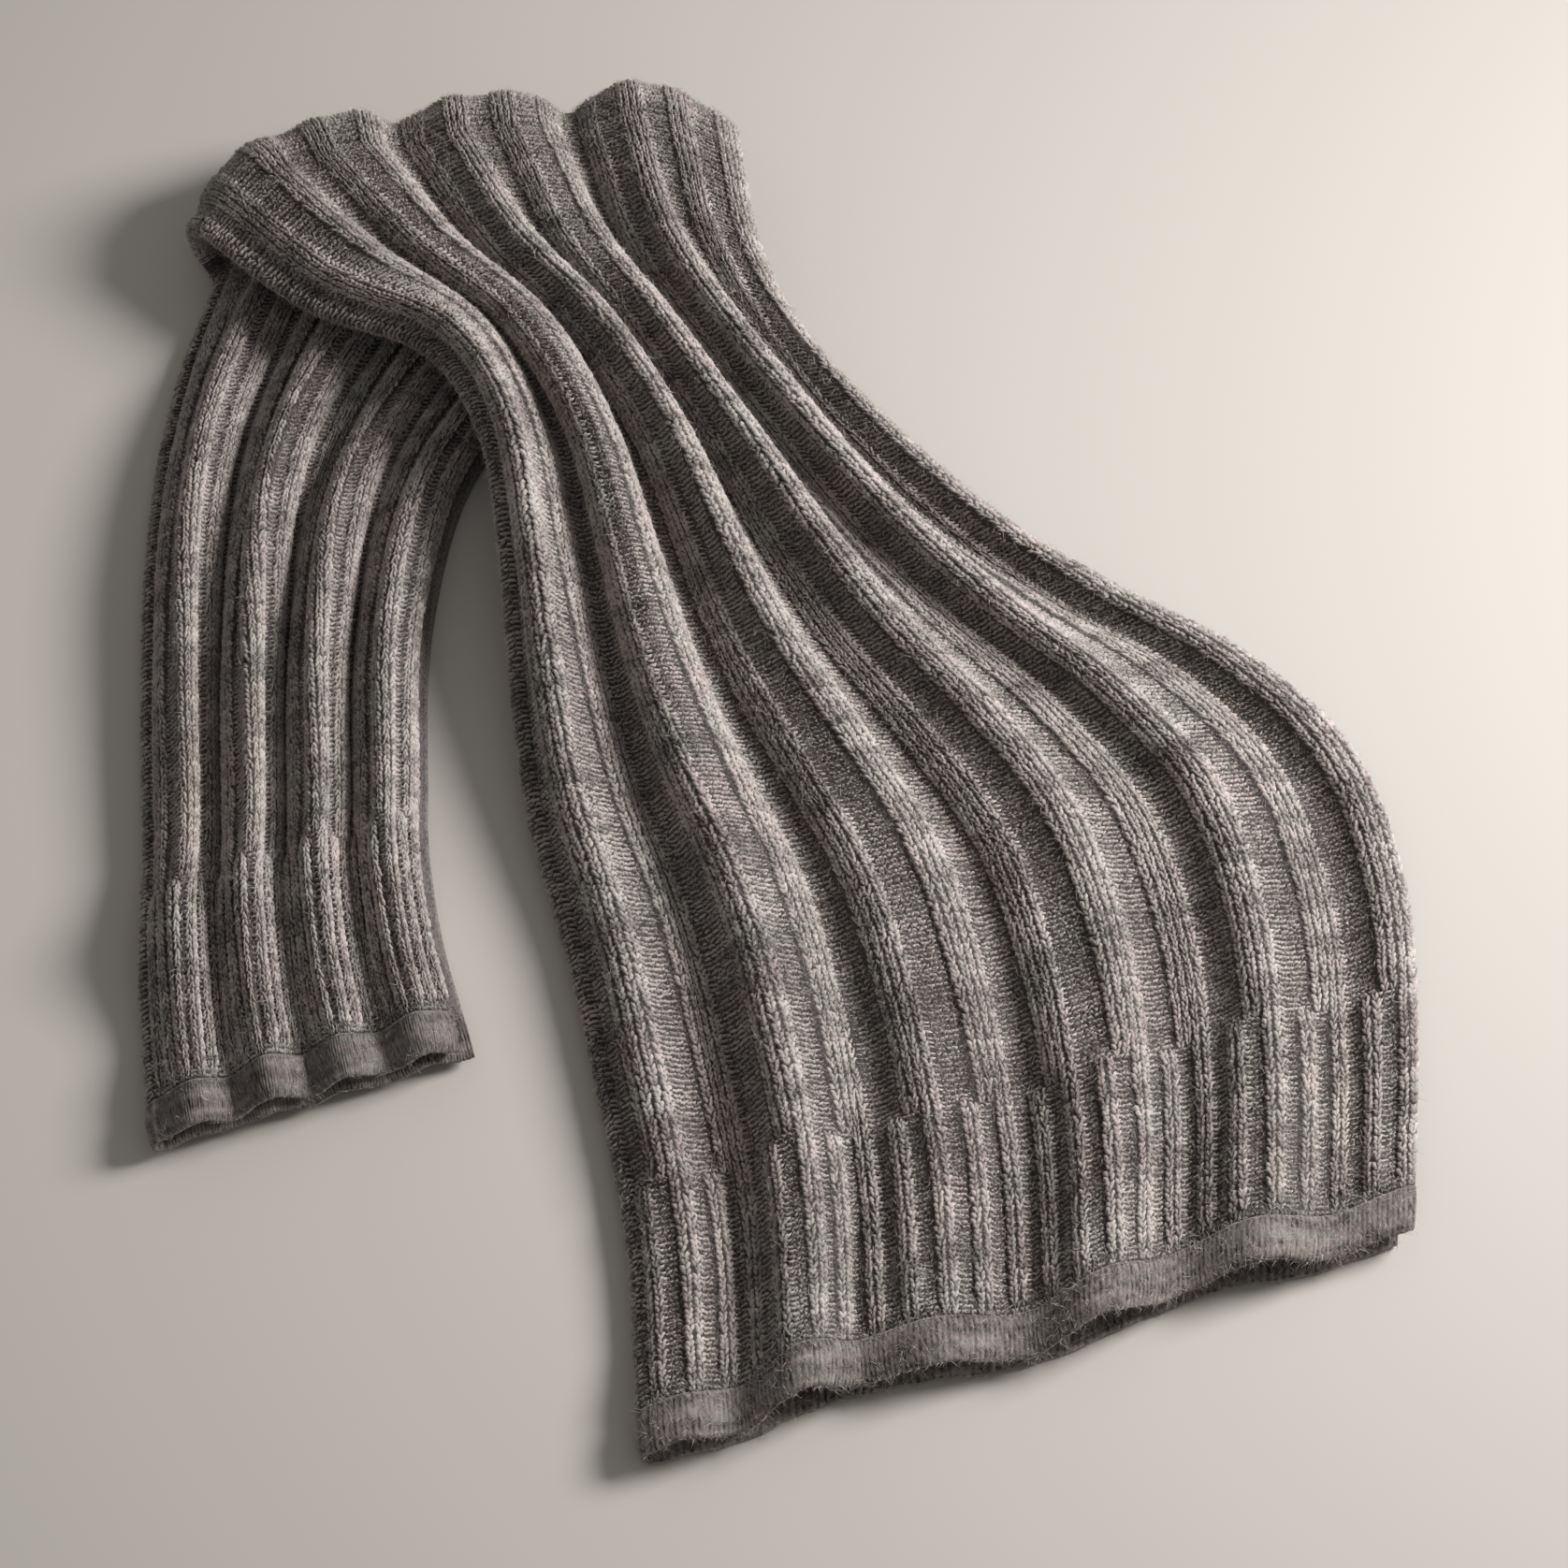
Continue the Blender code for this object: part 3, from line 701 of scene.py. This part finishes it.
def make_band(name, along, inner_along, shown_layer):
    """A puffy tube along one end of the panel, with wale ridges on the layer that shows."""
    fine, coarse = (np.linspace(0, UPPER_WIDTH, columns) for columns in (BAND_COLUMNS, HIDDEN_BAND_COLUMNS))
    turn = np.linspace(UPPER_WIDTH, LOWER_START, 9)[1:-1]
    first, last = (fine, coarse) if shown_layer == "upper" else (coarse, fine)
    across = np.concatenate([first, turn, (THROW_WIDTH - last)[::-1]])
    end = Section(along).points(across)
    outward = end - Section(inner_along).points(across)
    outward /= np.linalg.norm(outward, axis=1)[:, None]
    normal = np.cross(outward, np.gradient(end, axis=0))
    normal /= np.linalg.norm(normal, axis=1)[:, None]
    rows, ring = len(across), np.array(list(BAND_SHAPE) + [(u, -half) for u, half in reversed(BAND_SHAPE)])
    run = np.concatenate([[0], np.cumsum(np.linalg.norm(np.diff(end, axis=0), axis=1))])
    puff = 1 + 0.10 * np.sin(run / 0.021) * np.sin(run / 0.0077 + 1.3) + rng.normal(0, 0.015, rows)
    ridge = BAND_RIDGE * np.where(np.arange(rows) % 2 == 0, 1.0, -1.0)
    sides = np.sign(ring[:, 1]) * np.minimum(1, 3 * np.abs(ring[:, 1]))
    uneven = ridge[:, None] + rng.normal(0, 0.00020, (rows, len(ring)))
    rise = ring[None, :, 1] * BAND_THICKNESS * puff[:, None] + sides * uneven
    reach = BAND_SEAM + ring[None, :, 0] * (BAND_WIDTH + 0.001) * (0.7 + 0.3 * puff[:, None])
    points = end[:, None] + outward[:, None] * reach[..., None] + normal[:, None] * rise[..., None]
    n = len(ring)
    i, j = (part.ravel() for part in np.mgrid[0 : rows - 1, 0:n])
    near, far = i * n, (i + 1) * n
    faces = np.column_stack([near + j, near + (j + 1) % n, far + (j + 1) % n, far + j])
    mesh = bpy.data.meshes.new(name)
    caps = [tuple(reversed(range(n))), tuple(range((rows - 1) * n, rows * n))]
    mesh.from_pydata(points.reshape(-1, 3).tolist(), [], faces.tolist() + caps)
    mesh.update()
    if along > CROWN:
        mesh.flip_normals()
    mesh.shade_smooth()
    # Painted highlight on the ridges and painted shade in the grooves, with random tone on top.
    painted_shading_tones = np.where(np.arange(rows) % 2 == 0, *BAND_RIDGE_PAINTED_SHADING)[:, None] + rng.normal(0, 0.10, (rows, n))
    course, wale = np.meshgrid(np.arange(n) * 7, run / WALE)
    values = yarn_values(course.ravel(), wale.ravel(), painted_shading_tones.reshape(-1, 1))
    set_yarn(mesh, values.reshape(-1, 3))
    band = add_piece(name, mesh, band_yarn)
    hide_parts(name.removesuffix("_knit"))
    return band


band_yarn = yarn_material("band_yarn", 0.55)
front_band = make_band("front_band_knit", 0.0, 0.004, "upper")
back_band = make_band("back_band_knit", PANEL_LENGTH, PANEL_LENGTH - 0.004, "lower")

# Brushed fuzz
# Loose fibres of the brushed yarn, 4 to 9 mm long, that soften every stitch and stand out along the edges.
# Each is a thin sliver of one triangle, rooted in the stitches or in an end band.
FUZZ_LENGTH = (0.004, 0.009)
FUZZ_HALF_WIDTH = 0.00012
FRONT_FUZZ = 84000
BACK_FUZZ = 30000
BAND_FUZZ = 10000
CLOTH_LIFT = 0.7
BAND_LIFT = 1.2


def unit(vectors):
    return vectors / np.linalg.norm(vectors, axis=1)[:, None]


def fuzz_piece(name, roots, outward, lift):
    """Fibres at the roots, each leaving the surface by up to the lift."""
    count = len(roots)
    flat = rng.normal(0, 1, (count, 3))
    flat = unit(flat - outward * (flat * outward).sum(axis=1)[:, None])
    way = unit(flat + outward * rng.uniform(0.05, lift, (count, 1)))
    side = unit(np.cross(way, rng.normal(0, 1, (count, 3)))) * FUZZ_HALF_WIDTH
    tip = roots + way * rng.uniform(*FUZZ_LENGTH, (count, 1))
    points = np.stack([roots - side, roots + side, tip], axis=1)
    points[..., 2] = np.maximum(points[..., 2], 0.0004)
    mesh = plain_mesh(name, points.reshape(-1, 3), np.arange(count * 3).reshape(-1, 3))
    shades = np.repeat(rng.uniform(0.45, 1.0, count), 3)
    set_yarn(mesh, np.column_stack([shades, rng.uniform(0.2, 0.8, (len(shades), 2))]))
    piece = add_piece(name, mesh, fuzz_yarn)
    return piece


def cloth_roots(courses, wales, count, under_front):
    """Random roots on a stretch of cloth, with the way out of it."""
    course, wale = rng.uniform(*courses, count), rng.uniform(*wales, count)
    roots = on_cloth(wale, course, rng.uniform(0.0002, YARN_HEIGHT, count))
    outward = read_grid(grid_out, wale, course)
    shown = ~hidden(roots) if under_front else np.ones(count, bool)
    return roots[shown], outward[shown]


def band_roots(band, count):
    """Random roots on an end band, with the way out of it."""
    centres, normals = (np.empty(len(band.data.polygons) * 3) for _ in range(2))
    band.data.polygons.foreach_get("center", centres)
    band.data.polygons.foreach_get("normal", normals)
    centres, normals = centres.reshape(-1, 3), normals.reshape(-1, 3)
    upward = np.flatnonzero(normals[:, 2] > -0.3)
    chosen = rng.choice(upward, count)
    return centres[chosen] + rng.normal(0, 0.0008, (count, 3)), unit(normals[chosen])


fuzz_yarn = yarn_material("fuzz_yarn", 1.25)
fuzz = [
    fuzz_piece("fuzz_front", *cloth_roots((0, over_crown), upper_wales, FRONT_FUZZ, False), CLOTH_LIFT),
    fuzz_piece("fuzz_back", *cloth_roots((under_crown, COURSES), lower_wales, BACK_FUZZ, True), CLOTH_LIFT),
    fuzz_piece("fuzz_front_band", *band_roots(front_band, BAND_FUZZ), BAND_LIFT),
    fuzz_piece("fuzz_back_band", *band_roots(back_band, BAND_FUZZ // 2), BAND_LIFT),
]

# Floor, light and camera
# A plain pale floor, one large soft light above the right and far side, and a dim sky that fills the shadows.
# The camera looks down on the throw from above its front end, at a long focal length.
FLOOR_COLOUR = (0.43, 0.40, 0.365)
KEY_SIZE = 1.1
KEY_SPREAD = math.radians(110)
KEY_WATTS = 50
KEY_PLACE = (2.10, 0.52, 1.56)
SKY_COLOUR = (1.0, 0.99, 0.98)
SKY_STRENGTH = 0.33
CAMERA_ELEVATION = math.radians(60)
CAMERA_DISTANCE = 4.05
CAMERA_LENS = 135
VIEW_CENTRE = Vector((0.0115, -0.0344, 0.020))


def floor_material():
    material = bpy.data.materials.new("floor")
    material.use_nodes = True
    tree = material.node_tree
    shader = tree.nodes["Principled BSDF"]
    shader.inputs["Roughness"].default_value = 0.7
    shader.inputs["Base Color"].default_value = (*FLOOR_COLOUR, 1)
    return material


bpy.ops.mesh.primitive_plane_add(size=12, location=(0, 0, 0))
floor = bpy.context.object
floor.name = "floor"
floor.data.materials.append(floor_material())

key = bpy.data.objects.new("key_light", bpy.data.lights.new("key_light", "AREA"))
key.data.shape = "DISK"
key.data.size = KEY_SIZE
key.data.spread = KEY_SPREAD
key.data.energy = KEY_WATTS
key.location = KEY_PLACE
key.rotation_euler = (Vector((0.0, 0.0, 0.0)) - key.location).to_track_quat("-Z", "Y").to_euler()
bpy.context.scene.collection.objects.link(key)

world = bpy.data.worlds.new("room")
world.use_nodes = True
world.node_tree.nodes["Background"].inputs["Color"].default_value = (*SKY_COLOUR, 1)
world.node_tree.nodes["Background"].inputs["Strength"].default_value = SKY_STRENGTH
bpy.context.scene.world = world

camera = bpy.data.objects.new("camera", bpy.data.cameras.new("camera"))
camera.data.lens = CAMERA_LENS
camera.data.clip_end = 50
look = Vector((0, -math.cos(CAMERA_ELEVATION), math.sin(CAMERA_ELEVATION)))
camera.location = VIEW_CENTRE + look * CAMERA_DISTANCE
camera.rotation_mode = "QUATERNION"
camera.rotation_quaternion = (-look).to_track_quat("-Z", "Y")
bpy.context.scene.collection.objects.link(camera)
bpy.context.scene.camera = camera
bpy.context.scene.view_settings.view_transform = "Standard"
